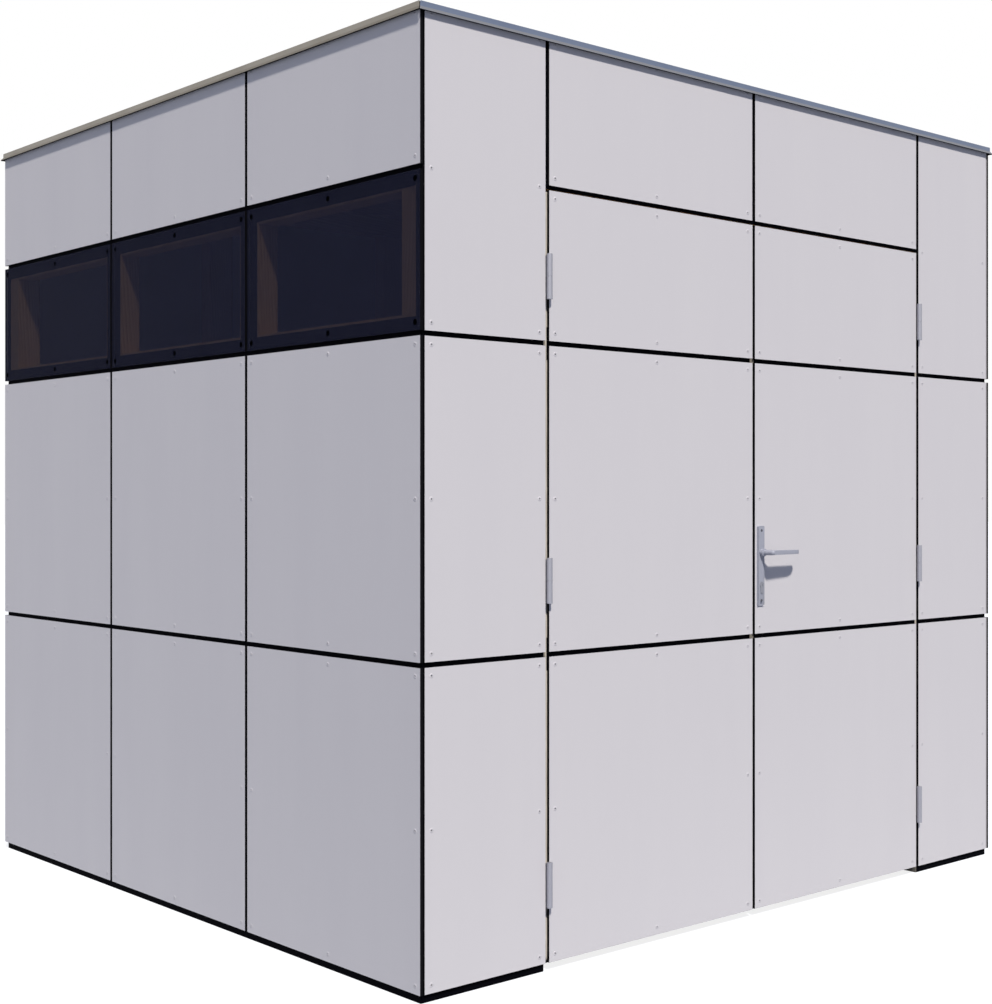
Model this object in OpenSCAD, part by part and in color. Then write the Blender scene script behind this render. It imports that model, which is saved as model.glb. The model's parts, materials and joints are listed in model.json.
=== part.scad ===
// Garden shed: a timber frame clad in thin laminate boards with open
// joints, a band of dark panes in the left wall and a double door in the front.
// Origin: centre of the plan at ground level. +X to the right, +Y to the rear,
// +Z up. Millimetres.

/* [Cladding] */
// Width and height of a full board
board = 765; // [600:1:900]
// Board thickness
board_t = 8; // [6:1:13]
// Open joint between two boards
joint = 12; // [6:1:14]
// Gap between the boards of the two door leaves
meeting_gap = 10; // [8:1:14]
// Open joint at the hinge side of a door leaf
hinge_gap = 12; // [8:1:16]
// Gap between the front or rear boards and the side boards that run past them
corner_gap = 5; // [2:0.5:12]
// Height of the window panes
pane_h = 377; // [250:1:600]
// Height of the boards over the windows and the door
header_h = 375; // [250:1:600]
// Clear height under the lowest boards
ground_gap = 22; // [5:1:40]

/* [Joint tape] */
// Thickness of the black tape between boards and timber
tape_t = 1; // [0.5:0.5:3]
// Width of the tape behind a joint between two boards
tape_w = 82; // [30:1:90]
// Width of the tape down the corners
corner_tape_w = 18; // [12:1:40]
// Width of the tape down the meeting stiles
meeting_tape_w = 30; // [27:1:60]
// Timber left bare between the end of a tape and the edge of a post or stile
tape_inset = 3; // [1:0.5:8]

/* [Timber frame] */
// Depth of sills, plates, corner posts and door posts
frame_d = 76; // [60:1:120]
// Depth of the wall posts and rails
post_d = 60; // [40:1:100]
// Width of posts, rails and top plates
post_w = 95; // [70:1:140]
// Height of the sills
sill_h = 60; // [40:1:100]

/* [Floor and roof] */
// Height of the floor joists
floor_joist_h = 40; // [30:1:80]
// Thickness of the floor deck
floor_t = 18; // [12:1:30]
// Width of floor and roof joists
joist_w = 45; // [35:1:75]
// Number of joists in the floor and in the roof
joists = 5; // [3:2:9]
// Thickness of the roof deck
deck_t = 22; // [12:1:30]
// Thickness of the roof membrane
membrane_t = 1.5; // [1:0.5:6]
// Height of the roof edge trim
trim_h = 22; // [18:1:40]
// Metal thickness of the trim
trim_t = 1.5; // [1:0.5:3]
// Reach of the trim's drip lip from the board face
lip_out = 11.5; // [8:0.5:20]

/* [Door] */
// Thickness of the leaf frames
leaf_t = 45; // [35:1:60]
// Width of stiles
stile_w = 72; // [60:1:110]
// Height of the leaf's bottom and top rails
leaf_rail_h = 90; // [60:1:140]
// Barrel diameter of the hinges
hinge_d = 15; // [12:0.5:20]
// Height of a hinge
hinge_h = 120; // [80:1:160]
// Thickness of a hinge wing
wing_t = 2.5; // [2:0.1:3]
// Pin diameter of a hinge
pin_d = 8; // [6:0.5:10]

/* [Lockset] */
// Width, height and thickness of the handle plates
plate_w = 24; // [22:1:40]
plate_h = 227; // [180:1:260]
plate_t = 8; // [5:0.5:12]
// Height of the lever above the ground
lever_z = 1029; // [950:1:1100]
// Lever axis from the edge of the leaf's boards
backset = 20; // [18:1:60]
// Distance from the lever down to the cylinder
lock_pitch = 92; // [72:1:92]
// Reach of the lever from the board face to its outer side
lever_out = 57; // [45:1:70]
// Length of the lever from its axis to the tip
lever_l = 126; // [100:1:140]
// Depth of the lever's blade, out from the leaf
blade_d = 20; // [12:1:24]
// Height of the blade at its neck
blade_h = 13; // [9:1:16]

/* [Hidden] */
// plan and heights
pitch = board + joint;
row = (3 * board + 2 * joint) / 2;
half_d = row;
half_w = row + corner_gap + board_t;
z_mid = ground_gap + pitch;
z_pane = ground_gap + 2 * pitch;
z_head = z_pane + pane_h + joint;
wall_top = z_head + header_h;
height = wall_top + membrane_t + trim_t;
tall_h = wall_top - z_pane;
z_joints = [z_mid - joint / 2, z_pane - joint / 2, z_head - joint / 2];
// timber
skin = board_t + tape_t;
inner_w = half_w - skin - frame_d;
inner_d = half_d - skin - frame_d;
frame_top = wall_top - deck_t;
plate_z = frame_top - post_w;
tape_z0 = 1;
tape_z1 = wall_top - 1;
bay_posts = pitch / 2;
joist_pitch = 2 * inner_d / (joists + 1);
// doorway
hinge_x = joint / 2 + board + hinge_gap / 2;
hinge_y = -half_d - hinge_d / 2 - 1;
hinge_low = ground_gap + 196;
hinge_high = z_head - 229;
hinge_z = [hinge_low, (hinge_low + hinge_high) / 2, hinge_high];
knuckle_gap = 0.25;
pin_reach = 44;
narrow = row - hinge_x - hinge_gap / 2;
jamb_x = hinge_x + 4;
stile_x = hinge_x - 1.5;
meet_x = meeting_gap / 2 + 3;
head_z = z_head - 8;
leaf_z = ground_gap + 5;
leaf_top = head_z - 7;
leaf_y = -half_d + skin;
stop_y = leaf_y + leaf_t + 6;
stop_w = 20;
stop_d = 25;
// lockset
lever_x = meeting_gap / 2 + backset;
cyl_z = lever_z - lock_pitch;
plate_z0 = cyl_z - 60;
leaf_mid = (skin + leaf_t) / 2;
neck_r = 7.5;
rose_r = 10.5;
rose_t = 12;
blade_y = lever_out - blade_d;
$fn = 48;

// ---- helpers -----------------------------------------------------------

// Turns a piece drawn on the front wall to another wall. y runs inwards from
// the board face. angle: 0 front, 90 right, 180 rear, -90 left.
module on_wall(angle = 0) {
    rotate([0, 0, angle])
        translate([0, angle % 180 == 0 ? -half_d : -half_w, 0])
            children();
}

// A block on a wall from its left end, depth and foot.
module block(x, y, z, w, d, h) {
    translate([x, y, z])
        cube([w, d, h]);
}

// Both hands of a piece drawn on the right-hand side.
module both_sides() {
    children();
    mirror([1, 0, 0])
        children();
}

// A row of full boards or panes across a wall.
module board_row(z, h) {
    for (i = [-1:1])
        block(i * pitch - board / 2, 0, z, board, board_t, h);
}

// Rails between the corner posts and the two wall posts at one height. clear:
// half the clear length between the corner posts.
module rail_row(z, clear) {
    end_l = clear - bay_posts - post_w / 2;
    mid_l = 2 * bay_posts - post_w;
    block(-clear, skin, z - post_w / 2, end_l, post_d, post_w);
    block(-mid_l / 2, skin, z - post_w / 2, mid_l, post_d, post_w);
    block(clear - end_l, skin, z - post_w / 2, end_l, post_d, post_w);
}

// The two wall posts behind the upright joints.
module post_pair() {
    for (i = [-1, 1])
        block(i * bay_posts - post_w / 2, skin, sill_h, post_w, post_d, plate_z - sill_h);
}

// Tape behind every joint of a wall, in one flat lattice that runs to the
// distance edge on both sides.
module tape_lattice(levels, edge) {
    for (x = [-bay_posts, bay_posts])
        block(x - tape_w / 2, board_t, tape_z0, tape_w, tape_t, tape_z1 - tape_z0);
    for (x = [-edge, edge - corner_tape_w])
        block(x, board_t, tape_z0, corner_tape_w, tape_t, tape_z1 - tape_z0);
    for (z = levels)
        block(-edge, board_t, z - tape_w / 2, 2 * edge, tape_t, tape_w);
    block(-edge, board_t, tape_z0, 2 * edge, tape_t, tape_w);
    block(-edge, board_t, tape_z1 - tape_w, 2 * edge, tape_t, tape_w);
}

// ---- timber frame ------------------------------------------------------

// Corner posts from the ground to the roof deck.
module corner_posts() {
    color("tan")
        for (x = [-inner_w - frame_d, inner_w], y = [-inner_d - frame_d, inner_d])
            block(x, y, 0, frame_d, frame_d, frame_top);
}

// Coated sills under the side walls.
module side_sills() {
    color("dimgray")
        for (a = [-90, 90])
            on_wall(a)
                block(-inner_d, skin, 0, 2 * inner_d, frame_d, sill_h);
}

// Rear sill, and the short front sills under the narrow boards.
module cross_sills() {
    color("dimgray") {
        on_wall(180)
            block(-inner_w, skin, 0, 2 * inner_w, frame_d, sill_h);
        both_sides()
            on_wall()
                block(jamb_x + post_w, skin, 0, inner_w - jamb_x - post_w, frame_d, sill_h);
    }
}

// Posts behind the upright joints of the side walls and the rear wall.
module wall_posts() {
    color("tan")
        for (a = [-90, 90, 180])
            on_wall(a)
                post_pair();
}

// Rails of the left wall: two behind the board joints, one over the panes.
module left_wall_rails() {
    color("tan")
        on_wall(-90)
            for (z = z_joints)
                rail_row(z, inner_d);
}

// Rails of the right wall, which has no panes.
module right_wall_rails() {
    color("tan")
        on_wall(90)
            for (i = [0, 1])
                rail_row(z_joints[i], inner_d);
}

// Rails of the rear wall.
module rear_wall_rails() {
    color("tan")
        on_wall(180)
            for (i = [0, 1])
                rail_row(z_joints[i], inner_w);
}

// Short rails between the corner posts and the door posts.
module front_wall_rails() {
    x = jamb_x + post_w;
    color("tan")
        both_sides()
            on_wall()
                for (i = [0, 1])
                    block(x, skin, z_joints[i] - post_w / 2, inner_w - x, post_d, post_w);
}

// Door posts that carry the hinges, from the ground to the top plate.
module door_posts() {
    color("tan")
        both_sides()
            on_wall()
                block(jamb_x, skin, 0, post_w, frame_d, plate_z);
}

// Beam over the doorway.
module door_head() {
    color("tan")
        on_wall()
            block(-jamb_x, skin, head_z, 2 * jamb_x, frame_d, post_w);
}

// Short posts between the beam and the top plate, behind the upright joints.
module lintel_posts() {
    z = head_z + post_w;
    color("tan")
        on_wall()
            for (x = [-jamb_x, -post_w / 2, jamb_x - post_w])
                block(x, skin, z, post_w, post_d, plate_z - z);
}

// Rebate strips on the door posts and under the head, which stop the leaves.
module door_stops() {
    color("tan")
        translate([0, stop_y, 0])
            difference() {
                block(-jamb_x, 0, sill_h, 2 * jamb_x, stop_d, head_z - sill_h);
                block(-jamb_x + stop_w, -1, 0, 2 * (jamb_x - stop_w), stop_d + 2,
                      head_z - stop_w);
            }
}

// Floor edge across the doorway, set back behind the leaves.
module door_threshold() {
    color("dimgray")
        block(-jamb_x, stop_y, 0, 2 * jamb_x, stop_d, sill_h);
}

// Top plates of the side walls.
module side_top_plates() {
    color("tan")
        for (a = [-90, 90])
            on_wall(a)
                block(-inner_d, skin, plate_z, 2 * inner_d, frame_d, post_w);
}

// Top plates of the front and rear walls.
module cross_top_plates() {
    color("tan")
        for (a = [0, 180])
            on_wall(a)
                block(-inner_w, skin, plate_z, 2 * inner_w, frame_d, post_w);
}

// ---- floor and roof ----------------------------------------------------

// Floor joists on the ground between the side sills.
module floor_joists() {
    color("tan")
        for (i = [1:joists])
            block(-inner_w, -inner_d + i * joist_pitch - joist_w / 2, 0,
                  2 * inner_w, joist_w, floor_joist_h);
}

// Floor deck between the sills, with its front edge behind the threshold.
module floor_deck() {
    color("burlywood")
        block(-inner_w, -inner_d, floor_joist_h, 2 * inner_w, 2 * inner_d, floor_t);
}

// Roof joists between the side top plates.
module roof_joists() {
    color("tan")
        for (i = [1:joists])
            block(-inner_w, -inner_d + i * joist_pitch - joist_w / 2, plate_z,
                  2 * inner_w, joist_w, post_w);
}

// Roof deck over the frame, level with the tops of the boards.
module roof_deck() {
    x = half_w - skin;
    y = half_d - skin;
    color("burlywood")
        block(-x, -y, frame_top, 2 * x, 2 * y, deck_t);
}

// Membrane over the deck and the board tops.
module roof_membrane() {
    color("dimgray")
        block(-half_w, -half_d, wall_top, 2 * half_w, 2 * half_d, membrane_t);
}

// Section of the roof edge trim: x inwards from the board face, y up. A
// nailing flange on the membrane, a face over the board tops and a drip lip
// kicked out at its foot.
module trim_section() {
    face = -5;
    flange = 60;
    foot = height - trim_h;
    kick = foot + 9;
    polygon([
        [face, height],
        [face, kick],
        [-lip_out, foot + trim_t],
        [-lip_out, foot],
        [face + trim_t, kick - trim_t],
        [face + trim_t, height - trim_t],
        [flange, height - trim_t],
        [flange, height]
    ]);
}

// One side of the trim, its ends cut at 45 degrees for the mitres. out is the
// distance of the board face from the middle, side half the wall's width.
module trim_length(out, side) {
    reach = side + 20;
    cut = 100;
    intersection() {
        translate([-reach, -out, 0])
            rotate([90, 0, 90])
                linear_extrude(2 * reach)
                    trim_section();
        linear_extrude(height + 10)
            polygon([
                [side - cut, cut - out], [reach, -out - 20],
                [-reach, -out - 20], [cut - side, cut - out]
            ]);
    }
}

// Trim along the front and the rear.
module cross_roof_trims() {
    color("silver")
        for (a = [0, 180])
            rotate([0, 0, a])
                trim_length(half_d, half_w);
}

// Trim along both sides.
module side_roof_trims() {
    color("silver")
        for (a = [90, -90])
            rotate([0, 0, a])
                trim_length(half_w, half_d);
}

// ---- cladding ----------------------------------------------------------

// Two rows of full boards on the left wall, under the panes.
module left_boards() {
    color("gainsboro")
        on_wall(-90)
            for (z = [ground_gap, z_mid])
                board_row(z, board);
}

// Low boards over the panes.
module left_header_boards() {
    color("gainsboro")
        on_wall(-90)
            board_row(z_head, header_h);
}

// Band of dark panes in the left wall, flush with the boards.
module window_panes() {
    color([0.1, 0.12, 0.15, 0.6])
        on_wall(-90)
            board_row(z_pane, pane_h);
}

// Boards of the right wall.
module right_boards() {
    color("gainsboro")
        on_wall(90) {
            for (z = [ground_gap, z_mid])
                board_row(z, board);
            board_row(z_pane, tall_h);
        }
}

// Boards of the rear wall.
module rear_boards() {
    color("gainsboro")
        on_wall(180) {
            for (z = [ground_gap, z_mid])
                board_row(z, board);
            board_row(z_pane, tall_h);
        }
}

// Narrow boards on both sides of the doorway.
module front_boards() {
    x = hinge_x + hinge_gap / 2;
    color("gainsboro")
        both_sides()
            on_wall() {
                for (z = [ground_gap, z_mid])
                    block(x, 0, z, narrow, board_t, board);
                block(x, 0, z_pane, narrow, board_t, tall_h);
            }
}

// Boards over the doorway.
module lintel_boards() {
    color("gainsboro")
        both_sides()
            on_wall()
                block(joint / 2, 0, z_head, board, board_t, header_h);
}

// Tape between boards and timber on all four walls.
module wall_joint_tape() {
    edge = half_w - skin;
    door_edge = jamb_x + tape_inset;
    color("black") {
        on_wall(-90)
            tape_lattice(z_joints, half_d - skin);
        on_wall(90)
            tape_lattice([z_joints[0], z_joints[1]], half_d - skin);
        on_wall(180)
            tape_lattice([z_joints[0], z_joints[1]], edge);
        on_wall() {
            both_sides() {
                block(edge - corner_tape_w, board_t, tape_z0, corner_tape_w, tape_t,
                      tape_z1 - tape_z0);
                for (z = [tape_z0, z_joints[0] - tape_w / 2, z_joints[1] - tape_w / 2])
                    block(door_edge, board_t, z, edge - door_edge, tape_t, tape_w);
                block(hinge_x - tape_w / 2, board_t, head_z, tape_w, tape_t, tape_z1 - head_z);
            }
            block(-edge, board_t, tape_z1 - tape_w, 2 * edge, tape_t, tape_w);
            block(-hinge_x, board_t, head_z, 2 * hinge_x, tape_t, tape_w / 2);
            block(-tape_w / 2, board_t, head_z, tape_w, tape_t, tape_z1 - head_z);
        }
    }
}

// ---- hinges ------------------------------------------------------------

// One knuckle, drawn upwards from the middle of the hinge.
module knuckle() {
    translate([0, 0, knuckle_gap])
        cylinder(d = hinge_d, h = hinge_h / 2 - knuckle_gap);
}

// A wing: a tongue beside the knuckle, and a plate in the slit between post
// and stile. x is the wing's near face from the pin's axis.
module wing(x) {
    depth = leaf_y + leaf_t - hinge_y;
    slit = hinge_d / 2 + 1.5;
    length = hinge_h / 2 - 4;
    block(x, 0, knuckle_gap, wing_t, depth - 5, length - knuckle_gap);
    block(x, slit, -length, wing_t, depth - 5 - slit, 2 * length);
}

// Lower half of each lift-off hinge: knuckle, pin and the wing on the post.
module jamb_hinges() {
    color("silver")
        both_sides()
            for (z = hinge_z)
                translate([hinge_x, hinge_y, z]) {
                    mirror([0, 0, 1]) {
                        knuckle();
                        wing(4 - wing_t);
                    }
                    translate([0, 0, -hinge_h / 4])
                        cylinder(d = pin_d, h = hinge_h / 4 + pin_reach);
                }
}

// Upper half: a knuckle that drops on the pin, and the wing on the stile.
module leaf_hinges() {
    for (z = hinge_z)
        translate([hinge_x, hinge_y, z])
            difference() {
                union() {
                    knuckle();
                    wing(-1.5);
                }
                translate([0, 0, -1])
                    cylinder(d = pin_d + 0.1, h = pin_reach + 3);
            }
}

// ---- door leaves, drawn for the right-hand leaf ------------------------

// Two stiles. The lock side has a mortise and holes for lever and cylinder.
module leaf_stiles(with_lock) {
    difference() {
        for (x = [meet_x, stile_x - stile_w])
            block(x, leaf_y, leaf_z, stile_w, leaf_t, leaf_top - leaf_z);
        if (with_lock) {
            lock_mortise();
            lock_holes(leaf_y - 1, leaf_t + 2);
        }
    }
}

// Bottom and top rails, and rails behind both board joints.
module leaf_rails() {
    x = meet_x + stile_w;
    w = stile_x - stile_w - x;
    block(x, leaf_y, leaf_z, w, leaf_t, leaf_rail_h);
    block(x, leaf_y, leaf_top - leaf_rail_h, w, leaf_t, leaf_rail_h);
    for (i = [0, 1])
        block(x, leaf_y, z_joints[i] - post_w / 2, w, leaf_t, post_w);
}

// Three boards: two full ones and a low one level with the panes.
module leaf_boards() {
    x = meeting_gap / 2;
    w = hinge_x - hinge_gap / 2 - x;
    for (z = [ground_gap, z_mid])
        block(x, -half_d, z, w, board_t, board);
    block(x, -half_d, z_pane, w, board_t, pane_h);
}

// Tape behind the level joints and along the meeting stile.
module leaf_tape() {
    y = -half_d + board_t;
    x = meet_x;
    for (i = [0, 1])
        block(x, y, z_joints[i] - tape_w / 2, stile_x - x - tape_inset, tape_t, tape_w);
    block(x, y, leaf_z, meeting_tape_w, tape_t, leaf_top - leaf_z);
}

// ---- lockset -----------------------------------------------------------

// Profile of the lock cylinder, drawn along +Y: round above, a leg below.
module cylinder_profile(length, grow = 0) {
    r = 8.5 + grow;
    leg_r = 5 + grow;
    leg_z = -19.5;
    rotate([-90, 0, 0]) {
        cylinder(r = r, h = length);
        translate([0, -leg_z, 0])
            cylinder(r = leg_r, h = length);
    }
    translate([-leg_r, 0, leg_z])
        cube([2 * leg_r, length, -leg_z]);
}

// Spindle hole and cylinder hole through boards, tape and stile.
module lock_holes(y, length) {
    translate([lever_x, y, lever_z])
        rotate([-90, 0, 0])
            cylinder(r = 8, h = length);
    translate([lever_x, y, cyl_z])
        cylinder_profile(length, 1);
}

// Pocket for the lock case, open to the meeting edge.
module lock_mortise() {
    block(meet_x - 1, -half_d + leaf_mid - 7.5 + 4, plate_z0 + 8, 40, 15, plate_h - 16);
}

// Lock case, forend and profile cylinder.
module lock_case() {
    y = -half_d + leaf_mid + 4;
    color("silver")
        difference() {
            union() {
                block(meet_x, y - 7.5, plate_z0 + 8, 39, 15, plate_h - 16);
                block(meet_x - 2.5, y - 12, plate_z0 - 10, 2.5, 24, plate_h + 20);
                translate([lever_x, -half_d - plate_t - 2, cyl_z])
                    cylinder_profile(skin + leaf_t + 2 * plate_t + 4);
            }
            translate([lever_x, y - 20, lever_z])
                rotate([-90, 0, 0])
                    cylinder(r = 5.8, h = 40);
            for (y = [-half_d - plate_t - 3, leaf_y + leaf_t + plate_t + 0.5])
                translate([lever_x, y, cyl_z])
                    block(-0.75, 0, -4, 1.5, 3, 8);
        }
}

// Handle plate with rounded corners, holes for the lever neck and cylinder.
module handle_plate() {
    r = 4;
    difference() {
        translate([0, 0, plate_z0]) {
            block(-plate_w / 2 + r, 0, 0, plate_w - 2 * r, plate_t, plate_h);
            block(-plate_w / 2, 0, r, plate_w, plate_t, plate_h - 2 * r);
            for (x = [-1, 1], z = [r, plate_h - r])
                translate([x * (plate_w / 2 - r), 0, z])
                    rotate([-90, 0, 0])
                        cylinder(r = r, h = plate_t);
        }
        translate([0, -1, lever_z])
            rotate([-90, 0, 0])
                cylinder(r = 8.05, h = plate_t + 2);
        translate([0, -1, cyl_z])
            cylinder_profile(plate_t + 2, 0.2);
    }
}

// Plate on the outer face of the right leaf.
module outer_handle_plate() {
    color("silver")
        translate([lever_x, -half_d - plate_t, 0])
            handle_plate();
}

// Plate on the inner face of the right leaf.
module inner_handle_plate() {
    color("silver")
        translate([lever_x, leaf_y + leaf_t, 0])
            handle_plate();
}

// The blade seen from above, y running out from the board face. It leaves the
// neck's rounded end and turns back towards the leaf at its tip.
module blade_plan() {
    polygon([
        [0, lever_out], [0, blade_y - 9], [neck_r, blade_y - 9], [neck_r + 9, blade_y],
        [lever_l - 2, blade_y - 1], [lever_l, blade_y + 1], [lever_l - 4, blade_y + 5],
        [lever_l - 16, lever_out - 8], [lever_l - 34, lever_out - 4]
    ]);
}

// One lever from the board face: rose, round neck and flat blade, a little
// lower at its tip.
module lever_half() {
    h = blade_h / 2;
    tip = h - 1;
    mirror([0, 1, 0]) {
        rotate([-90, 0, 0]) {
            cylinder(r = 8, h = plate_t + 1);
            translate([0, 0, plate_t])
                cylinder(r = rose_r, h = rose_t);
            translate([0, 0, plate_t])
                cylinder(r = neck_r, h = lever_out - neck_r - plate_t);
        }
        translate([0, lever_out - neck_r, 0])
            sphere(r = neck_r);
        intersection() {
            translate([0, 0, -neck_r])
                linear_extrude(2 * neck_r)
                    blade_plan();
            rotate([90, 0, 0])
                translate([0, 0, -lever_out - 1])
                    linear_extrude(lever_out + 1)
                        polygon([[0, -h], [lever_l, -tip], [lever_l, tip], [0, h]]);
        }
    }
}

// Outer and inner lever on their square spindle.
module lever_handle() {
    spindle = 8;
    color("silver")
        translate([lever_x, -half_d, lever_z]) {
            lever_half();
            translate([0, skin + leaf_t, 0])
                mirror([0, 1, 0])
                    lever_half();
            block(-spindle / 2, -plate_t, -spindle / 2, spindle, skin + leaf_t + 2 * plate_t,
                  spindle);
        }
}

// ---- right leaf ---------------------------------------------------------

module right_leaf_stiles() {
    color("tan")
        leaf_stiles(true);
}

module right_leaf_rails() {
    color("tan")
        leaf_rails();
}

module right_leaf_boards() {
    color("gainsboro")
        difference() {
            leaf_boards();
            lock_holes(-half_d - 1, board_t + 2);
        }
}

module right_leaf_tape() {
    color("black")
        difference() {
            leaf_tape();
            lock_holes(-half_d, board_t + 5);
        }
}

module right_leaf_hinges() {
    color("silver")
        leaf_hinges();
}

// ---- left leaf ----------------------------------------------------------

module left_leaf_stiles() {
    color("tan")
        mirror([1, 0, 0])
            leaf_stiles(false);
}

module left_leaf_rails() {
    color("tan")
        mirror([1, 0, 0])
            leaf_rails();
}

module left_leaf_boards() {
    color("gainsboro")
        mirror([1, 0, 0])
            leaf_boards();
}

module left_leaf_tape() {
    color("black")
        mirror([1, 0, 0])
            leaf_tape();
}

module left_leaf_hinges() {
    color("silver")
        mirror([1, 0, 0])
            leaf_hinges();
}

// ---- output -------------------------------------------------------------

corner_posts();
side_sills();
cross_sills();
wall_posts();
left_wall_rails();
right_wall_rails();
rear_wall_rails();
front_wall_rails();
door_posts();
door_head();
lintel_posts();
door_stops();
door_threshold();
side_top_plates();
cross_top_plates();
floor_joists();
floor_deck();
roof_joists();
roof_deck();
roof_membrane();
cross_roof_trims();
side_roof_trims();
left_boards();
left_header_boards();
window_panes();
right_boards();
rear_boards();
front_boards();
lintel_boards();
wall_joint_tape();
jamb_hinges();
right_leaf_stiles();
right_leaf_rails();
right_leaf_boards();
right_leaf_tape();
right_leaf_hinges();
lock_case();
outer_handle_plate();
inner_handle_plate();
lever_handle();
left_leaf_stiles();
left_leaf_rails();
left_leaf_boards();
left_leaf_tape();
left_leaf_hinges();
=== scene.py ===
"""Garden shed: a timber frame clad in thin laminate boards, with dark panes, a flat roof
and a double door."""
import json
import math

import bmesh
import bpy
from mathutils import Matrix, Vector


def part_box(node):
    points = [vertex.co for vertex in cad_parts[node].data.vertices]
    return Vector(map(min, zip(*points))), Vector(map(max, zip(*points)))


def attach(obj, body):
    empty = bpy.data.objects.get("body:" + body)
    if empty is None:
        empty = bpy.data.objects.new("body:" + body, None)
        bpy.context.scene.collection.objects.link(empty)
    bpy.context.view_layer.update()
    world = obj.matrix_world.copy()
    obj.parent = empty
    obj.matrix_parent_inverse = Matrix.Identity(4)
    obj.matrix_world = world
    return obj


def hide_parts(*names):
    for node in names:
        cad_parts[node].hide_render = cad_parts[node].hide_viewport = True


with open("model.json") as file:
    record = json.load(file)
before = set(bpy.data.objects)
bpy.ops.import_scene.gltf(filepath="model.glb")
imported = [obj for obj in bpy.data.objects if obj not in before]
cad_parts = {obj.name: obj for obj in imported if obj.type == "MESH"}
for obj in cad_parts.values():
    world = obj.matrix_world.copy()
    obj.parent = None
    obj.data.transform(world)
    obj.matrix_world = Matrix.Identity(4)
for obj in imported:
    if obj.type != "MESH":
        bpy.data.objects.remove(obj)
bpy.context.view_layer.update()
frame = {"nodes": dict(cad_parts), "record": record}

# ---- Camera ---------------------------------------------------------------
# A person's view from nearly four metres off the near corner, held level so that
# every upright stays upright. A small lens shift lets the shed fill the frame.


def set_up(name, data, direction, location=(0, 0, 0)):
    """Sets up a camera or lamp in the scene, looking along a direction."""
    made = bpy.data.objects.new(name, data)
    made.location = location
    made.rotation_euler = Vector(direction).to_track_quat("-Z", "Y").to_euler()
    bpy.context.scene.collection.objects.link(made)
    return made


eye = bpy.data.cameras.new("eye")
eye.lens = 58.10
eye.sensor_width = 36
eye.shift_x = -0.0927
eye.shift_y = -0.0061
eye.clip_end = 200
camera = set_up("eye", eye, direction=(0.68105, 0.73224, 0),
                location=(-3.4562, -4.1929, 1.1889))
bpy.context.scene.camera = camera
bpy.context.scene.view_settings.view_transform = "Standard"

# ---- Studio ---------------------------------------------------------------
# A pale floor under a soft key light from the front left and a wide pale sky.
# The floor shows white where it is lit and keeps the shed's shadow, but sends
# only a little light back up the walls.
SRGB_KNEE = 0.04045


def colour(code):
    """A linear colour with full alpha from an sRGB hex code such as #cdcbd1."""
    parts = [int(code[i:i + 2], 16) / 255 for i in (1, 3, 5)]
    return [c / 12.92 if c <= SRGB_KNEE else ((c + 0.055) / 1.055) ** 2.4 for c in parts] + [1.0]


def plug(tree, node, inputs):
    """Gives each input of a node its value, or links it to another node's output."""
    for socket, value in inputs.items():
        if isinstance(value, bpy.types.NodeSocket):
            tree.links.new(value, node.inputs[socket])
        else:
            node.inputs[socket].default_value = value


def add(tree, kind, inputs=None, **settings):
    """Adds a node with its settings and inputs."""
    made = tree.nodes.new(kind)
    for name, value in settings.items():
        setattr(made, name, value)
    plug(tree, made, inputs or {})
    return made


def seen_directly(tree):
    """1 for what the camera sees itself, mirrored or through a pane; 0 for light on its way."""
    path = add(tree, "ShaderNodeLightPath")
    mirrored = add(tree, "ShaderNodeMath",
                   {0: path.outputs["Is Camera Ray"], 1: path.outputs["Is Glossy Ray"]},
                   operation="MAXIMUM")
    through = add(tree, "ShaderNodeMath",
                  {0: mirrored.outputs[0], 1: path.outputs["Is Transmission Ray"]},
                  operation="MAXIMUM")
    return through.outputs[0]


def new_material(name):
    """A material with an empty Principled shader; returns it, its tree and the shader."""
    material = bpy.data.materials.new(name)
    material.use_nodes = True
    tree = material.node_tree
    return material, tree, tree.nodes["Principled BSDF"]


def key_lamp():
    """A warm sun, high at the front left, with shadows a little softer than the real one's."""
    sun = bpy.data.lights.new("key", "SUN")
    sun.energy = 4.25
    sun.angle = math.radians(4)
    sun.color = (1.0, 0.95, 0.87)
    set_up("key", sun, direction=(0.5, 1.0, -1.3))


def fill_lamp():
    """A wide soft lamp off the left wall, aimed at the shed's middle."""
    soft = bpy.data.lights.new("fill", "AREA")
    soft.shape = "SQUARE"
    soft.size = 5
    soft.energy = 37
    soft.color = (1.0, 1.0, 0.98)
    place, aim = Vector((-7.5, -3.0, 3.0)), Vector((0, 0, 1.2))
    set_up("fill", soft, direction=aim - place, location=place)


def sky():
    """White where it is seen, and a dim blue light on the object."""
    light_level, seen_level = 0.24, 1.0
    world = bpy.data.worlds.new("studio")
    world.use_nodes = True
    tree = world.node_tree
    seen = seen_directly(tree)
    level = add(tree, "ShaderNodeMix", {"Factor": seen, "A": light_level, "B": seen_level})
    tint = add(tree, "ShaderNodeMix",
               {"Factor": seen, "A": colour("#a9c1ff"), "B": colour("#ffffff")},
               data_type="RGBA")
    plug(tree, tree.nodes["Background"],
         {"Strength": level.outputs["Result"], "Color": tint.outputs["Result"]})
    bpy.context.scene.world = world


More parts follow.
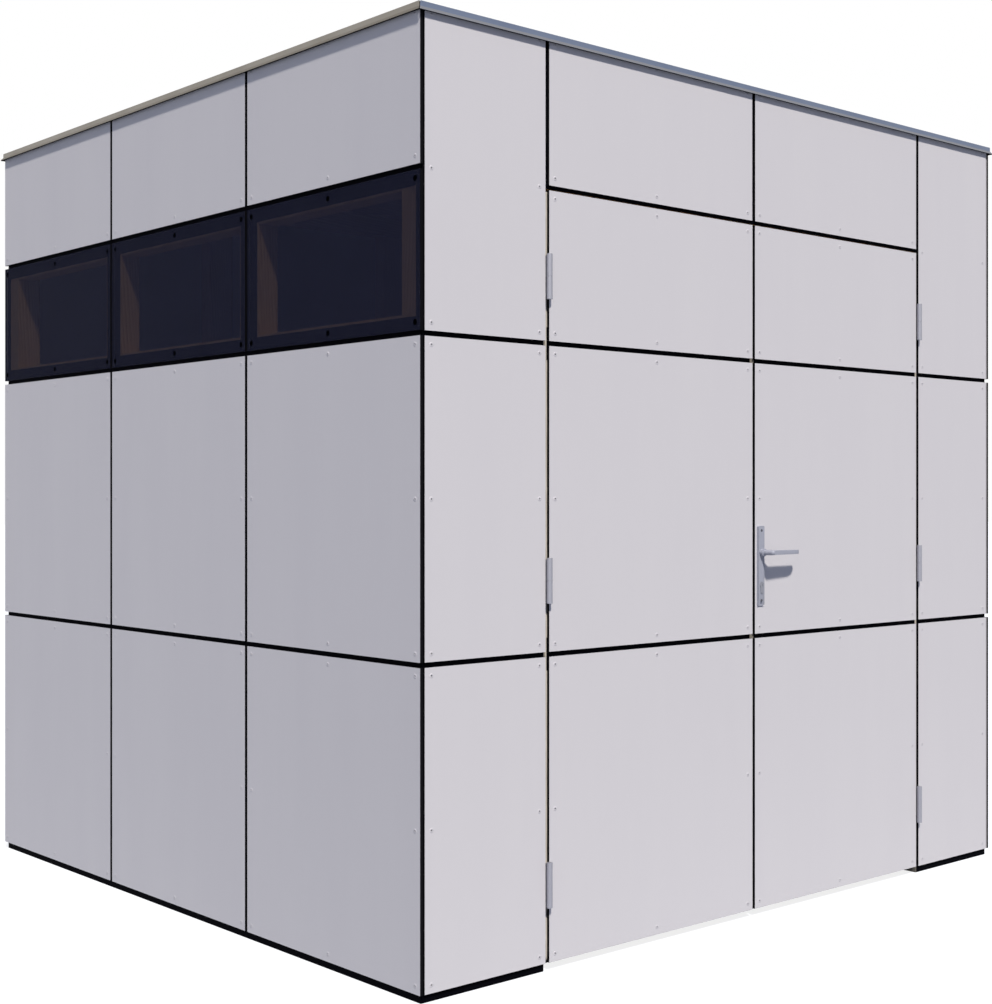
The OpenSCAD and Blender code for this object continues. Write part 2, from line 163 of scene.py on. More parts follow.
def floor():
    """A matt grey sheet that shows white where the key light falls on it."""
    half_width, lift_level = 60, 0.84
    ground = bmesh.new()
    bmesh.ops.create_grid(ground, x_segments=1, y_segments=1, size=half_width)
    mesh = bpy.data.meshes.new("floor")
    ground.to_mesh(mesh)
    ground.free()
    material, tree, shader = new_material("matt studio floor")
    lift = add(tree, "ShaderNodeMath", {0: seen_directly(tree), 1: lift_level},
               operation="MULTIPLY")
    plug(tree, shader, {
        "Base Color": colour("#858a93"), "Roughness": 1.0, "Specular IOR Level": 0.0,
        "Emission Color": colour("#ffffff"), "Emission Strength": lift.outputs[0]})
    mesh.materials.append(material)
    piece = bpy.data.objects.new("floor", mesh)
    bpy.context.scene.collection.objects.link(piece)


key_lamp()
fill_lamp()
sky()
floor()

# ---- Timber frame ---------------------------------------------------------
# Planed spruce posts, rails, plates and joists, screwed together. Planing leaves
# a satin face and softly rounded arrises. The door posts and leaf stiles stand in
# the weather at the gaps, which has silvered them.
record = frame["record"]
BODY_OF = {node: body
           for body, members in record["behaviour"]["bodies"].items() for node in members}
ALONG = {"x": 0, "y": 1, "z": 2}
BAND_PITCH = 0.314  # metres from band to band of a wave texture whose scale is 1
NOISE_LOW, NOISE_HIGH = 0.3, 0.7  # nearly all of a noise texture lies between these


def cad_shell(node):
    """A CAD node's solids as a clean bmesh: doubles merged and flat faces whole."""
    shell = bmesh.new()
    shell.from_mesh(frame["nodes"][node].data)
    bmesh.ops.remove_doubles(shell, verts=shell.verts, dist=1e-6)
    bmesh.ops.dissolve_limit(shell, angle_limit=math.radians(1), verts=shell.verts,
                             edges=shell.edges)
    return shell


def ease_edges(shell, radius, segments=2, shortest=0.0):
    """Rounds a shell's sharp edges by a radius in metres, and leaves those under a length."""
    sharp = math.radians(30)
    edges = [e for e in shell.edges
             if e.is_manifold and e.calc_face_angle(0) > sharp and e.calc_length() > shortest]
    bmesh.ops.bevel(shell, geom=edges, offset=radius, offset_type="OFFSET", segments=segments,
                    profile=0.5, affect="EDGES", clamp_overlap=True, material=-1)


def make_piece(shell, name, finishes, body, smooth=20):
    """Makes an object of a bmesh, with its materials, on a body and with its slot.

    smooth: faces that meet at less than this many degrees shade as one; none do at 0. A rounded
    edge turns more than that from face to face, so the flats beside it stay flat.
    """
    mesh = bpy.data.meshes.new(name)
    shell.to_mesh(mesh)
    shell.free()
    for finish in finishes:
        mesh.materials.append(finish)
    if smooth:
        mesh.shade_smooth()
        mesh.set_sharp_from_angle(angle=math.radians(smooth))
    piece = bpy.data.objects.new(name, mesh)
    bpy.context.scene.collection.objects.link(piece)
    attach(piece, body)
    return piece


def stand_in(node, shell, suffix, finishes, smooth=20):
    """Makes a shell the piece that stands for a CAD node, on its body and with its slot."""
    name = f"{node}_{suffix}"
    piece = make_piece(shell, name, finishes, BODY_OF[node], smooth)
    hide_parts(node)


def dress(node, suffix, finish, radius, segments=2):
    """Stands a copy of a CAD node with rounded edges in its place."""
    shell = cad_shell(node)
    ease_edges(shell, radius, segments)
    stand_in(node, shell, suffix, [finish])


def planed_spruce(name, along, early, late, splashed=0.0):
    """Spruce with its grain along one axis: darker growth rings, with fine fibres between them.

    splashed: height over the ground up to which rain has stained it dark.
    """
    ring, fibre_width, cloud = 0.005, 0.0015, 0.35  # real fibres are finer, and wouldn't show
    wet, damp = 0.8 * splashed, 1.2 * splashed + 0.001
    drawn_out = 0.06
    stretch = [1.0, 1.0, 1.0]
    stretch[ALONG[along]] = drawn_out
    material, tree, shader = new_material(name)
    place = add(tree, "ShaderNodeTexCoord").outputs["Object"]
    grain = add(tree, "ShaderNodeMapping", {"Vector": place, "Scale": stretch})
    rings = add(tree, "ShaderNodeTexWave",
                {"Vector": grain.outputs[0], "Scale": BAND_PITCH / ring, "Distortion": 7.0,
                 "Detail": 3.0, "Detail Scale": 0.5},
                wave_type="BANDS", bands_direction="DIAGONAL", wave_profile="SAW")
    fibre = add(tree, "ShaderNodeTexNoise",
                {"Vector": grain.outputs[0], "Scale": 1 / fibre_width, "Detail": 2.0})
    blotch = add(tree, "ShaderNodeTexNoise", {"Vector": place, "Scale": 1 / cloud, "Detail": 1.0})
    wood = add(tree, "ShaderNodeMix",
               {"Factor": rings.outputs["Fac"], "A": colour(early), "B": colour(late)},
               data_type="RGBA")
    streak = add(tree, "ShaderNodeMapRange",
                 {"Value": fibre.outputs["Fac"], "From Min": NOISE_LOW, "From Max": NOISE_HIGH,
                  "To Min": 0.86, "To Max": 1.06})
    tone = add(tree, "ShaderNodeMapRange",
               {"Value": blotch.outputs["Fac"], "From Min": NOISE_LOW, "From Max": NOISE_HIGH,
                "To Min": 0.88, "To Max": 1.05})
    shade = add(tree, "ShaderNodeMath", {0: streak.outputs[0], 1: tone.outputs[0]},
                operation="MULTIPLY")
    height = add(tree, "ShaderNodeSeparateXYZ", {0: place})
    dry = add(tree, "ShaderNodeMapRange",
              {"Value": height.outputs["Z"], "From Min": wet, "From Max": damp,
               "To Min": 0.22, "To Max": 1.0})
    stained = add(tree, "ShaderNodeMath", {0: shade.outputs[0], 1: dry.outputs[0]},
                  operation="MULTIPLY")
    final = add(tree, "ShaderNodeVectorMath", {0: wood.outputs["Result"], 1: stained.outputs[0]},
                operation="MULTIPLY")
    bump = add(tree, "ShaderNodeBump",
               {"Height": fibre.outputs["Fac"], "Strength": 0.25, "Distance": 0.0006})
    plug(tree, shader,
         {"Base Color": final.outputs[0], "Normal": bump.outputs[0], "Roughness": 0.62})
    return material


spruce = {axis: planed_spruce(f"planed spruce along {axis}", axis, "#cfa878", "#ad8253")
          for axis in ALONG}
silvered = planed_spruce("silvered spruce", "z", "#c9c3b9", "#b4ada1", splashed=0.03)
WEATHERED = ["door_posts", "left_leaf_stiles", "right_leaf_stiles"]
TIMBER = {
    "x": ["rear_wall_rails", "front_wall_rails", "door_head", "door_stops", "cross_top_plates",
          "floor_joists", "roof_joists", "left_leaf_rails", "right_leaf_rails"],
    "y": ["left_wall_rails", "right_wall_rails", "side_top_plates"],
    "z": ["corner_posts", "wall_posts", "door_posts", "lintel_posts", "left_leaf_stiles",
          "right_leaf_stiles"],
}
ARRIS = 0.002
for axis, names in TIMBER.items():
    for name in names:
        dress(name, "planed", silvered if name in WEATHERED else spruce[axis], ARRIS)

# ---- Coated sills ---------------------------------------------------------
# Spruce sills that touch the ground, brushed all over with black bitumen
# paint: thick, slightly glossy, with brush lines and dust in the hollows.


def bitumen_paint():
    """Tar-black paint with brush lines along the sill about 3 mm apart."""
    brush_line, dust_spot = 0.003, 0.05
    material, tree, shader = new_material("bitumen paint")
    place = add(tree, "ShaderNodeTexCoord").outputs["Object"]
    lay = add(tree, "ShaderNodeMapping", {"Vector": place, "Scale": (0.15, 0.15, 1.0)})
    brush = add(tree, "ShaderNodeTexNoise",
                {"Vector": lay.outputs[0], "Scale": 1 / brush_line, "Detail": 3.0})
    dust = add(tree, "ShaderNodeTexNoise",
               {"Vector": place, "Scale": 1 / dust_spot, "Detail": 4.0})
    tone = add(tree, "ShaderNodeMix",
               {"Factor": dust.outputs["Fac"], "A": colour("#0b0b0d"), "B": colour("#1d1c1d")},
               data_type="RGBA")
    gloss = add(tree, "ShaderNodeMapRange",
                {"Value": dust.outputs["Fac"], "To Min": 0.35, "To Max": 0.75})
    bump = add(tree, "ShaderNodeBump",
               {"Height": brush.outputs["Fac"], "Strength": 0.4, "Distance": 0.0008})
    plug(tree, shader, {"Base Color": tone.outputs["Result"], "Roughness": gloss.outputs[0],
                        "Normal": bump.outputs[0], "Specular IOR Level": 0.2})
    return material


coating = bitumen_paint()
for name in ("side_sills", "cross_sills", "door_threshold"):
    dress(name, "coated", coating, ARRIS)

# ---- Plywood decks --------------------------------------------------------
# Spruce plywood sheets screwed to the joists, for the floor and under the
# membrane. The face veneer shows broad cathedral figure.


def spruce_plywood():
    """Peeled veneer: figure about 30 mm wide, with fibres drawn 2 mm wide so that they show."""
    figure_width, fibre_width = 0.03, 0.002
    material, tree, shader = new_material("spruce plywood")
    place = add(tree, "ShaderNodeTexCoord").outputs["Object"]
    lay = add(tree, "ShaderNodeMapping", {"Vector": place, "Scale": (0.12, 1.0, 1.0)})
    figure = add(tree, "ShaderNodeTexWave",
                 {"Vector": lay.outputs[0], "Scale": BAND_PITCH / figure_width, "Distortion": 5.0,
                  "Detail": 2.0, "Detail Scale": 0.8},
                 wave_type="BANDS", bands_direction="Y", wave_profile="SIN")
    fibre = add(tree, "ShaderNodeTexNoise",
                {"Vector": lay.outputs[0], "Scale": 1 / fibre_width, "Detail": 2.0})
    face = add(tree, "ShaderNodeMix",
               {"Factor": figure.outputs["Fac"], "A": colour("#c9a878"), "B": colour("#b38d5e")},
               data_type="RGBA")
    streak = add(tree, "ShaderNodeMapRange",
                 {"Value": fibre.outputs["Fac"], "From Min": NOISE_LOW, "From Max": NOISE_HIGH,
                  "To Min": 0.85, "To Max": 1.05})
    final = add(tree, "ShaderNodeVectorMath", {0: face.outputs["Result"], 1: streak.outputs[0]},
                operation="MULTIPLY")
    bump = add(tree, "ShaderNodeBump",
               {"Height": fibre.outputs["Fac"], "Strength": 0.2, "Distance": 0.0005})
    plug(tree, shader,
         {"Base Color": final.outputs[0], "Normal": bump.outputs[0], "Roughness": 0.7})
    return material


plywood = spruce_plywood()
for name in ("floor_deck", "roof_deck"):
    dress(name, "veneered", plywood, radius=0.001)

# ---- Laminate boards ------------------------------------------------------
# High-pressure laminate, 8 mm thick: a hard satin skin in light grey, pressed
# on both faces of a black core that shows at every sawn and chamfered edge.
# Each board hangs free on its screws with a 12 mm open joint all round.


def grey_laminate():
    """A satin skin with a fine pebble, drawn 1.2 mm wide so that it shows, and a faint film.

    The film is dust in long rain marks. Rain splashes more pale dust on the lowest 0.6 m.
    """
    pebble_width, film_width, splash_height = 0.0012, 0.12, 0.6
    material, tree, shader = new_material("grey pressed laminate")
    place = add(tree, "ShaderNodeTexCoord").outputs["Object"]
    pebble = add(tree, "ShaderNodeTexNoise",
                 {"Vector": place, "Scale": 1 / pebble_width, "Detail": 1.0})
    fall = add(tree, "ShaderNodeMapping", {"Vector": place, "Scale": (1.0, 1.0, 0.12)})
    film = add(tree, "ShaderNodeTexNoise",
               {"Vector": fall.outputs[0], "Scale": 1 / film_width, "Detail": 4.0,
                "Roughness": 0.6})
    tone = add(tree, "ShaderNodeMix",
               {"Factor": film.outputs["Fac"], "A": colour("#cfcdd1"), "B": colour("#cccacf")},
               data_type="RGBA")
    height = add(tree, "ShaderNodeSeparateXYZ", {0: place})
    splash = add(tree, "ShaderNodeMapRange",
                 {"Value": height.outputs["Z"], "From Min": 0.0, "From Max": splash_height,
                  "To Min": 1.03, "To Max": 1.0})
    dusted = add(tree, "ShaderNodeVectorMath", {0: tone.outputs["Result"], 1: splash.outputs[0]},
                 operation="MULTIPLY")
    gloss = add(tree, "ShaderNodeMapRange",
                {"Value": film.outputs["Fac"], "From Min": NOISE_LOW, "From Max": NOISE_HIGH,
                 "To Min": 0.46, "To Max": 0.56})
    bump = add(tree, "ShaderNodeBump",
               {"Height": pebble.outputs["Fac"], "Strength": 0.12, "Distance": 0.0002})
    plug(tree, shader, {"Base Color": dusted.outputs[0], "Roughness": gloss.outputs[0],
                        "Normal": bump.outputs[0], "Specular IOR Level": 0.3})
    return material


def sawn_edge(name, dark, pale):
    """A sawn edge, near black and dull, with saw marks about 1 mm wide."""
    saw_mark = 0.001
    material, tree, shader = new_material(name)
    place = add(tree, "ShaderNodeTexCoord").outputs["Object"]
    saw = add(tree, "ShaderNodeTexNoise", {"Vector": place, "Scale": 1 / saw_mark, "Detail": 2.0})
    tone = add(tree, "ShaderNodeMix",
               {"Factor": saw.outputs["Fac"], "A": colour(dark), "B": colour(pale)},
               data_type="RGBA")
    bump = add(tree, "ShaderNodeBump",
               {"Height": saw.outputs["Fac"], "Strength": 0.3, "Distance": 0.0003})
    plug(tree, shader, {"Base Color": tone.outputs["Result"], "Normal": bump.outputs[0],
                        "Roughness": 0.6, "Specular IOR Level": 0.03})
    return material


def solid_boxes(node):
    """The lowest and highest corner of each separate solid in a CAD node."""
    shell = cad_shell(node)
    unseen = set(shell.verts)
    boxes = []
    while unseen:
        solid, reached = set(), [unseen.pop()]
        while reached:
            vert = reached.pop()
            solid.add(vert)
            for edge in vert.link_edges:
                other = edge.other_vert(vert)
                if other in unseen:
                    unseen.discard(other)
                    reached.append(other)
        low = Vector([min(v.co[i] for v in solid) for i in range(3)])
        high = Vector([max(v.co[i] for v in solid) for i in range(3)])
        boxes.append((low, high))
    shell.free()
    return sorted(boxes, key=lambda box: [round(c, 4) for c in box[0]])


def hang_sheets(node, suffix, skin, edge):
    """Sheets with one finish on both faces and another on their chamfered edges."""
    chamfer, shortest_edge, square_on = 0.0003, 0.05, 0.9
    low, high = solid_boxes(node)[0]
    through = min(range(3), key=lambda i: high[i] - low[i])
    shell = cad_shell(node)
    ease_edges(shell, chamfer, segments=1, shortest=shortest_edge)
    for face in shell.faces:
        face.material_index = 0 if abs(face.normal[through]) > square_on else 1
    stand_in(node, shell, suffix, [skin, edge], smooth=0)


laminate = grey_laminate()
core = sawn_edge("black phenolic core", "#0a0a0d", "#131317")
for name in ("left_boards", "left_header_boards", "right_boards", "rear_boards", "front_boards",
             "lintel_boards", "left_leaf_boards", "right_leaf_boards"):
    hang_sheets(name, "laminate", laminate, core)

# ---- Window panes ---------------------------------------------------------
# Smoked acrylic panes, 8 mm thick, screwed on like the boards. From outside
# they read near black; close up the timber behind shows through faintly. Light
# dies in the sawn edges, which look black.


def smoked_acrylic():
    """Clear plastic with a dense grey-blue dye, polished on both faces under a faint dust film."""
    sway, film_width = 0.4, 0.09
    material, tree, shader = new_material("smoked acrylic")
    place = add(tree, "ShaderNodeTexCoord").outputs["Object"]
    wave = add(tree, "ShaderNodeTexNoise", {"Vector": place, "Scale": 1 / sway, "Detail": 0.0})
    film = add(tree, "ShaderNodeTexNoise",
               {"Vector": place, "Scale": 1 / film_width, "Detail": 4.0})
    tone = add(tree, "ShaderNodeMix",
               {"Factor": film.outputs["Fac"], "A": colour("#26283a"), "B": colour("#2e3044")},
               data_type="RGBA")
    gloss = add(tree, "ShaderNodeMapRange",
                {"Value": film.outputs["Fac"], "To Min": 0.02, "To Max": 0.07})
    bump = add(tree, "ShaderNodeBump",
               {"Height": wave.outputs["Fac"], "Strength": 0.15, "Distance": 0.002})
    plug(tree, shader, {"Base Color": tone.outputs["Result"], "Roughness": gloss.outputs[0],
                        "Normal": bump.outputs[0], "Specular IOR Level": 0.005, "Alpha": 0.54})
    return material


hang_sheets("window_panes", "acrylic", smoked_acrylic(),
            sawn_edge("sawn acrylic edge", "#060608", "#0c0c10"))

# ---- Joint tape -----------------------------------------------------------
# Black rubber tape stapled to the timber behind every joint, to keep rain and
# light off the wood. Behind the panes it is turned out at both ends of the band,
# so that no light shows there.


def ribbed_rubber():
    """Black rubber with ribs 4 mm apart, dull under a little dust."""
    rib, dust_spot = 0.004, 0.03
    material, tree, shader = new_material("ribbed black rubber")
    place = add(tree, "ShaderNodeTexCoord").outputs["Object"]
    ribs = add(tree, "ShaderNodeTexWave", {"Vector": place, "Scale": BAND_PITCH / rib},
               wave_type="BANDS", bands_direction="DIAGONAL")
    dust = add(tree, "ShaderNodeTexNoise",
               {"Vector": place, "Scale": 1 / dust_spot, "Detail": 3.0})
    tone = add(tree, "ShaderNodeMix",
               {"Factor": dust.outputs["Fac"], "A": colour("#030307"), "B": colour("#07070d")},
               data_type="RGBA")
    bump = add(tree, "ShaderNodeBump",
               {"Height": ribs.outputs["Fac"], "Strength": 0.3, "Distance": 0.0004})
    plug(tree, shader, {"Base Color": tone.outputs["Result"], "Normal": bump.outputs[0],
                        "Roughness": 0.8, "Specular IOR Level": 0.02})
    return material


def rubber_strips(name, boxes):
    """Plain strips of the rubber, each given by its lowest and highest corner, on the shell."""
    strips = bmesh.new()
    for low, high in boxes:
        low, high = Vector(low), Vector(high)
        verts = bmesh.ops.create_cube(strips, size=1.0)["verts"]
        bmesh.ops.scale(strips, vec=high - low, verts=verts)
        bmesh.ops.translate(strips, vec=(low + high) / 2, verts=verts)
    tape = "wall_joint_tape"
    make_piece(strips, name, [rubber], BODY_OF[tape])


def pane_end_strips(clear, thick, near, far):
    """A strip behind each end of the pane band, from near to far inside its end."""
    low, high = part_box("window_panes")
    face, back = high.x + clear, high.x + clear + thick
    rubber_strips("pane_band_end_strips", [
        ((face, low.y + near, low.z), (back, low.y + far, high.z)),
        ((face, high.y - far, low.z), (back, high.y - near, high.z))])


rubber = ribbed_rubber()
for name in ("wall_joint_tape", "left_leaf_tape", "right_leaf_tape"):
    dress(name, "ribbed", rubber, radius=0.0002, segments=1)
pane_end_strips(clear=0.0001, thick=0.0008, near=0.0005, far=0.010)

# ---- Roof membrane --------------------------------------------------------
# One sheet of black roofing rubber glued to the deck, dulled by weather, with
# dust that has dried in shallow puddle marks.


def weathered_membrane():
    """Matt black rubber, paler where puddles half a metre wide have dried, with fine grit."""
    puddle_width, grit_size = 0.5, 0.004
    material, tree, shader = new_material("weathered roofing rubber")
    place = add(tree, "ShaderNodeTexCoord").outputs["Object"]
    puddle = add(tree, "ShaderNodeTexNoise",
                 {"Vector": place, "Scale": 1 / puddle_width, "Detail": 5.0, "Distortion": 0.6})
    grit = add(tree, "ShaderNodeTexNoise",
               {"Vector": place, "Scale": 1 / grit_size, "Detail": 2.0})
    tone = add(tree, "ShaderNodeMix",
               {"Factor": puddle.outputs["Fac"], "A": colour("#232325"), "B": colour("#4a4846")},
               data_type="RGBA")
    bump = add(tree, "ShaderNodeBump",
               {"Height": grit.outputs["Fac"], "Strength": 0.3, "Distance": 0.0006})
    plug(tree, shader, {"Base Color": tone.outputs["Result"], "Normal": bump.outputs[0],
                        "Roughness": 0.78})
    return material


dress("roof_membrane", "weathered", weathered_membrane(), radius=0.001)

# ---- Roof edge trim -------------------------------------------------------
# Extruded aluminium edging in its mill finish, bonded over the membrane, with a
# drip lip rubbed bare over a thin bead of black rubber. The mitres stand open
# about 2 mm for heat, with an angle of the same rubber behind each.


def mill_aluminium(name, bright, dull):
    """Aluminium that weather has dulled in clouds, with die marks drawn 1.5 mm wide to show."""
    die_mark, cloud_width = 0.0015, 0.15
    material, tree, shader = new_material(name)
    place = add(tree, "ShaderNodeTexCoord").outputs["Object"]
    die = add(tree, "ShaderNodeTexNoise", {"Vector": place, "Scale": 1 / die_mark, "Detail": 2.0})
    cloud = add(tree, "ShaderNodeTexNoise",
                {"Vector": place, "Scale": 1 / cloud_width, "Detail": 3.0})
    tone = add(tree, "ShaderNodeMix",
               {"Factor": cloud.outputs["Fac"], "A": colour(bright), "B": colour(dull)},
               data_type="RGBA")
    gloss = add(tree, "ShaderNodeMapRange",
                {"Value": cloud.outputs["Fac"], "To Min": 0.38, "To Max": 0.6})
    bump = add(tree, "ShaderNodeBump",
               {"Height": die.outputs["Fac"], "Strength": 0.15, "Distance": 0.0003})
    plug(tree, shader, {"Base Color": tone.outputs["Result"], "Roughness": gloss.outputs[0],
                        "Normal": bump.outputs[0], "Metallic": 0.85})
    return material


def edge_trims(node, finish, bare, run):
    """The two lengths of trim that run along one axis, drawn in a little from their mitres."""
    lip_height, gap, arris_radius = 0.009, 0.0015, 0.0005
    low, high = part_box(node)
    shell = cad_shell(node)
    ease_edges(shell, arris_radius)
    shorten = [1.0, 1.0, 1.0]
    shorten[run] = 1 - 2 * gap / (high[run] - low[run])
    bmesh.ops.scale(shell, vec=shorten, verts=shell.verts)
    for face in shell.faces:
        face.material_index = 1 if face.calc_center_median().z < low.z + lip_height else 0
    stand_in(node, shell, "extruded", [finish, bare])


def mitre_angles(reach, thick, clear):
    """Two wings of an angle behind each mitre, a little clear of the board faces."""
    end_gap = 0.002
    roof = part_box("roof_membrane")[1]
    low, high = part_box("cross_roof_trims")
    near, far, wing = clear, clear + thick, clear + thick - reach
    boxes = []
    for x in (-1, 1):
        for y in (-1, 1):
            for x0, x1, y0, y1 in ((near, far, wing, far), (wing, far, near, far)):
                xs = sorted((x * (roof.x + x0), x * (roof.x + x1)))
                ys = sorted((y * (roof.y + y0), y * (roof.y + y1)))
                boxes.append(((xs[0], ys[0], low.z + end_gap), (xs[1], ys[1], high.z - end_gap)))
    rubber_strips("roof_trim_mitre_angles", boxes)


def drip_beads(height, depth):
    """A bead under the drip lip on all four sides, set in a little from the lip."""
    inset, sunk = 0.0004, 0.0001
    low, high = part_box("side_roof_trims")
    front, rear = (corner.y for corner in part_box("cross_roof_trims"))
    foot, top = low.z - height, low.z + sunk
    boxes = [((low.x + inset, y, foot), (high.x - inset, y + depth, top))
             for y in (front + inset, rear - inset - depth)]
    boxes += [((x, front + inset, foot), (x + depth, rear - inset, top))
              for x in (low.x + inset, high.x - inset - depth)]
    rubber_strips("roof_trim_drip_beads", boxes)


# The lengths on the two sides have yellowed, and those at front and rear are bluer.
edge_trims("cross_roof_trims", mill_aluminium("mill finish aluminium", "#7a8499", "#646f87"),
           mill_aluminium("bare aluminium lip", "#868890", "#777980"), ALONG["x"])
edge_trims("side_roof_trims",
           mill_aluminium("yellowed mill finish aluminium", "#99948c", "#837e76"),
           mill_aluminium("yellowed aluminium lip", "#7a756c", "#6c675f"), ALONG["y"])
mitre_angles(reach=0.02, thick=0.0009, clear=0.0025)
drip_beads(height=0.0005, depth=0.004)

# ---- Hinges ---------------------------------------------------------------
# Lift-off hinges of zinc-plated steel, three to a leaf: the lower knuckle and its
# pin sit on the post, and the upper knuckle drops over the pin. Both ends of each
# are turned back about 3 mm.


def zinc_steel():
    """Rolled steel under a thin bluish zinc coat, with faint drawing lines along the barrel.

    The lines are drawn 1 mm apart, so that they show.
    """
    drawing_line = 0.001
    material, tree, shader = new_material("zinc plated steel")
    place = add(tree, "ShaderNodeTexCoord").outputs["Object"]
    lines = add(tree, "ShaderNodeMapping", {"Vector": place, "Scale": (1.0, 1.0, 0.1)})
    draw = add(tree, "ShaderNodeTexNoise",
               {"Vector": lines.outputs[0], "Scale": 1 / drawing_line, "Detail": 2.0})
    tone = add(tree, "ShaderNodeMix",
               {"Factor": draw.outputs["Fac"], "A": colour("#91929d"), "B": colour("#a0a1ab")},
               data_type="RGBA")
    bump = add(tree, "ShaderNodeBump",
               {"Height": draw.outputs["Fac"], "Strength": 0.1, "Distance": 0.0002})
    plug(tree, shader, {"Base Color": tone.outputs["Result"], "Normal": bump.outputs[0],
                        "Metallic": 0.6, "Roughness": 0.5})
    return material


def hinges(node, finish, shorter):
    """A node's hinges, shorter by a share of their height, as much above their middle as below."""
    middles = [(low.z + high.z) / 2 for low, high in solid_boxes("right_leaf_hinges")]
    shell = cad_shell(node)
    for vert in shell.verts:
        middle = min(middles, key=lambda z: abs(vert.co.z - z))
        vert.co.z += shorter * (middle - vert.co.z)
    ease_edges(shell, radius=0.0004)
    stand_in(node, shell, "plated", [finish])


zinc = zinc_steel()
for name in ("jamb_hinges", "left_leaf_hinges", "right_leaf_hinges"):
    hinges(name, zinc, shorter=0.055)

# ---- Screws ---------------------------------------------------------------
# Stainless facade screws with a round drive, driven almost flush 20 mm from the
# boards' edges. Their heads are 12 mm across and coated to match the laminate;
# those in the panes are 15 mm across and black.
OUTWARD = {"left": Vector((-1, 0, 0)), "right": Vector((1, 0, 0)),
           "front": Vector((0, -1, 0)), "rear": Vector((0, 1, 0))}
EDGE_DISTANCE = 0.020
LONG_EDGE = 0.6


def screw_head(radius):
    """A domed head standing up from z = 0, with its drive sunk in the crown."""
    rim, taper, upward = 0.0003, 0.94, 0.9
    steps = ((0.25, 0.0003), (0.33, 0.0), (0.04, -0.0007))  # share of the radius in, metres up
    head = bmesh.new()
    bmesh.ops.create_cone(head, cap_ends=True, segments=14, radius1=radius,
                          radius2=taper * radius, depth=rim)
    bmesh.ops.translate(head, verts=head.verts, vec=(0, 0, rim / 2))
    crown = [f for f in head.faces if f.normal.z > upward]
    for shrink, rise in steps:
        bmesh.ops.inset_region(head, faces=crown, thickness=shrink * radius, use_even_offset=True)
        bmesh.ops.translate(head, verts=list({v for f in crown for v in f.verts}),
                            vec=(0, 0, rise))
    mesh = bpy.data.meshes.new("screw_head")
    head.to_mesh(mesh)
    head.free()
    return mesh


def screw_places(box, outward):
    """Screw centres of one board: every corner, and the middle of each long edge."""
    low, high = box
    depth = max(range(3), key=lambda i: abs(outward[i]))
    across, up = (i for i in range(3) if i != depth)
    face = high if sum(outward) > 0 else low
    rows = {}
    for axis in (across, up):
        first, last = low[axis] + EDGE_DISTANCE, high[axis] - EDGE_DISTANCE
        middle = [(first + last) / 2] if high[axis] - low[axis] >= LONG_EDGE else []
        rows[axis] = [first, *middle, last]
    places = []
    for a in rows[across]:
        for u in rows[up]:
            if a in rows[across][1:-1] and u in rows[up][1:-1]:
                continue
            point = Vector((0, 0, 0))
            point[across], point[up], point[depth] = a, u, face[depth]
            places.append(point)
    return places


def drive_screws(node, places, outward, radius, finish):
    """Screws at the given places, joined in one piece on a node's body."""
    curved = 30  # degrees; the heads are round, so their faces shade as one
    head = screw_head(radius)
    turn = outward.to_track_quat("Z", "X").to_matrix().to_4x4()
    heads = bmesh.new()
    for place in places:
        before = set(heads.verts)
        heads.from_mesh(head)
        bmesh.ops.transform(heads, matrix=Matrix.Translation(place) @ turn,
                            verts=[v for v in heads.verts if v not in before])
    bpy.data.meshes.remove(head)
    make_piece(heads, f"{node}_screws", [finish], BODY_OF[node], smooth=curved)


def screw_on(node, side, radius, finish):
    """Screws in every board of a node."""
    places = [place for box in solid_boxes(node) for place in screw_places(box, OUTWARD[side])]
    drive_screws(node, places, OUTWARD[side], radius, finish)


def coated_head(name, tones, roughness, shine):
    """A powder coat on steel: even, slightly pebbled at about 0.5 mm."""
    pebble_width = 0.0005
    material, tree, shader = new_material(name)
    place = add(tree, "ShaderNodeTexCoord").outputs["Object"]
    pebble = add(tree, "ShaderNodeTexNoise",
                 {"Vector": place, "Scale": 1 / pebble_width, "Detail": 1.0})
    tone = add(tree, "ShaderNodeMix",
               {"Factor": pebble.outputs["Fac"], "A": colour(tones[0]), "B": colour(tones[1])},
               data_type="RGBA")
    bump = add(tree, "ShaderNodeBump",
               {"Height": pebble.outputs["Fac"], "Strength": 0.15, "Distance": 0.0002})
    plug(tree, shader, {"Base Color": tone.outputs["Result"], "Normal": bump.outputs[0],
                        "Roughness": roughness, "Specular IOR Level": shine})
    return material


grey_head = coated_head("grey coated screw head", ("#c6c4ca", "#d0ced3"),
                        roughness=0.5, shine=0.3)
black_head = coated_head("black coated screw head", ("#020203", "#050506"),
                         roughness=0.8, shine=0.0)
for name, side in {"left_boards": "left", "left_header_boards": "left", "right_boards": "right",
                   "rear_boards": "rear", "front_boards": "front", "lintel_boards": "front",
                   "left_leaf_boards": "front", "right_leaf_boards": "front"}.items():
    screw_on(name, side, radius=0.006, finish=grey_head)
screw_on("window_panes", "left", radius=0.0075, finish=black_head)

# ---- Lockset --------------------------------------------------------------
# A narrow stainless lever set with a profile cylinder, for the thin meeting
# stile: brushed plates held by two countersunk screws each, a neck with a flat
# grip in each, and a mortised lock case of duller nickel-plated brass.


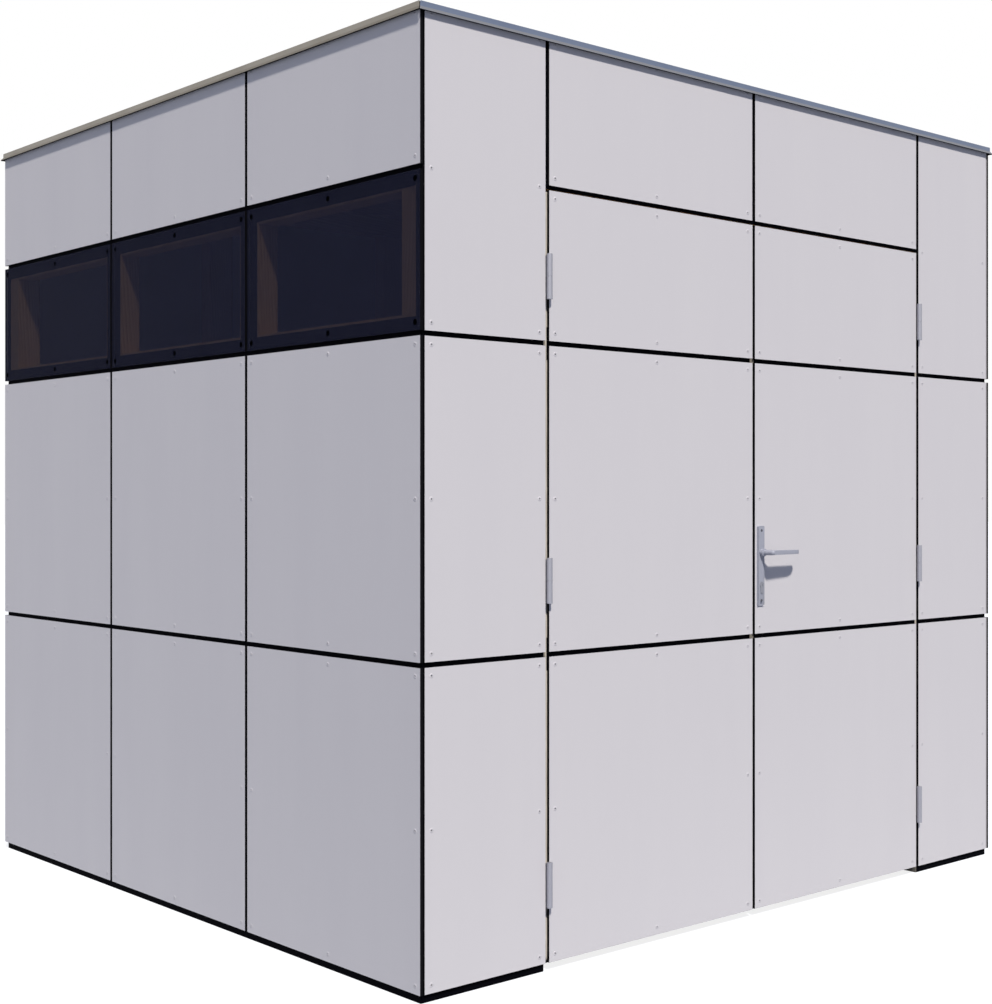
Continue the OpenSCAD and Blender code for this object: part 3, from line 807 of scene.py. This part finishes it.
def brushed_metal(name, bright, dull, sheen, roughness):
    """Metal brushed upright, with lines drawn about 0.8 mm apart so that they show."""
    brush_line = 0.0008
    material, tree, shader = new_material(name)
    place = add(tree, "ShaderNodeTexCoord").outputs["Object"]
    lay = add(tree, "ShaderNodeMapping", {"Vector": place, "Scale": (1.0, 1.0, 0.04)})
    brush = add(tree, "ShaderNodeTexNoise",
                {"Vector": lay.outputs[0], "Scale": 1 / brush_line, "Detail": 2.0})
    tone = add(tree, "ShaderNodeMix",
               {"Factor": brush.outputs["Fac"], "A": colour(bright), "B": colour(dull)},
               data_type="RGBA")
    bump = add(tree, "ShaderNodeBump",
               {"Height": brush.outputs["Fac"], "Strength": 0.12, "Distance": 0.0002})
    plug(tree, shader, {"Base Color": tone.outputs["Result"], "Normal": bump.outputs[0],
                        "Metallic": sheen, "Roughness": roughness})
    return material


def handle_plate(node, side, finish, slope):
    """A handle plate whose outer face falls back by slope over its foot, where it is filed."""
    same_plane, foot, arris_radius = 0.0001, 0.003, 0.0006
    low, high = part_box(node)
    face, back = (high.y, -slope) if side == "rear" else (low.y, slope)
    shell = cad_shell(node)
    for vert in shell.verts:
        if abs(vert.co.y - face) < same_plane and vert.co.z < low.z + foot:
            vert.co.y += back
    ease_edges(shell, arris_radius)
    stand_in(node, shell, "brushed", [finish])


def plate_screws(node, side, finish):
    """Two flat screw heads on a plate's outer face, above the lever and under the cylinder."""
    from_top, from_foot, radius = 0.013, 0.016, 0.004
    low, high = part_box(node)
    middle, face = (low.x + high.x) / 2, high.y if side == "rear" else low.y
    places = [Vector((middle, face, z)) for z in (high.z - from_top, low.z + from_foot)]
    drive_screws(node, places, OUTWARD[side], radius, finish)


def levers(node, finish, clear):
    """Both levers and their spindle, with the ends of their collars drawn back from the leaf."""
    same_plane, arris_radius = 0.0001, 0.0015
    outer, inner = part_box("outer_handle_plate")[1].y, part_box("inner_handle_plate")[0].y
    shell = cad_shell(node)
    for vert in shell.verts:
        if abs(vert.co.y - outer) < same_plane:
            vert.co.y -= clear
        elif abs(vert.co.y - inner) < same_plane:
            vert.co.y += clear
    ease_edges(shell, arris_radius, segments=3)
    stand_in(node, shell, "brushed", [finish])


stainless = brushed_metal("brushed stainless steel", "#9194a2", "#a4a7b4",
                          sheen=0.1, roughness=0.68)
browned = brushed_metal("browned screw steel", "#3c3e46", "#4c4e57", sheen=0.4, roughness=0.55)
nickel = brushed_metal("nickel plated brass", "#84868f", "#94969f", sheen=0.5, roughness=0.5)
for name, side in (("outer_handle_plate", "front"), ("inner_handle_plate", "rear")):
    handle_plate(name, side, stainless, slope=0.005)
    plate_screws(name, side, browned)
levers("lever_handle", stainless, clear=0.0006)
dress("lock_case", "plated", nickel, radius=0.0003)
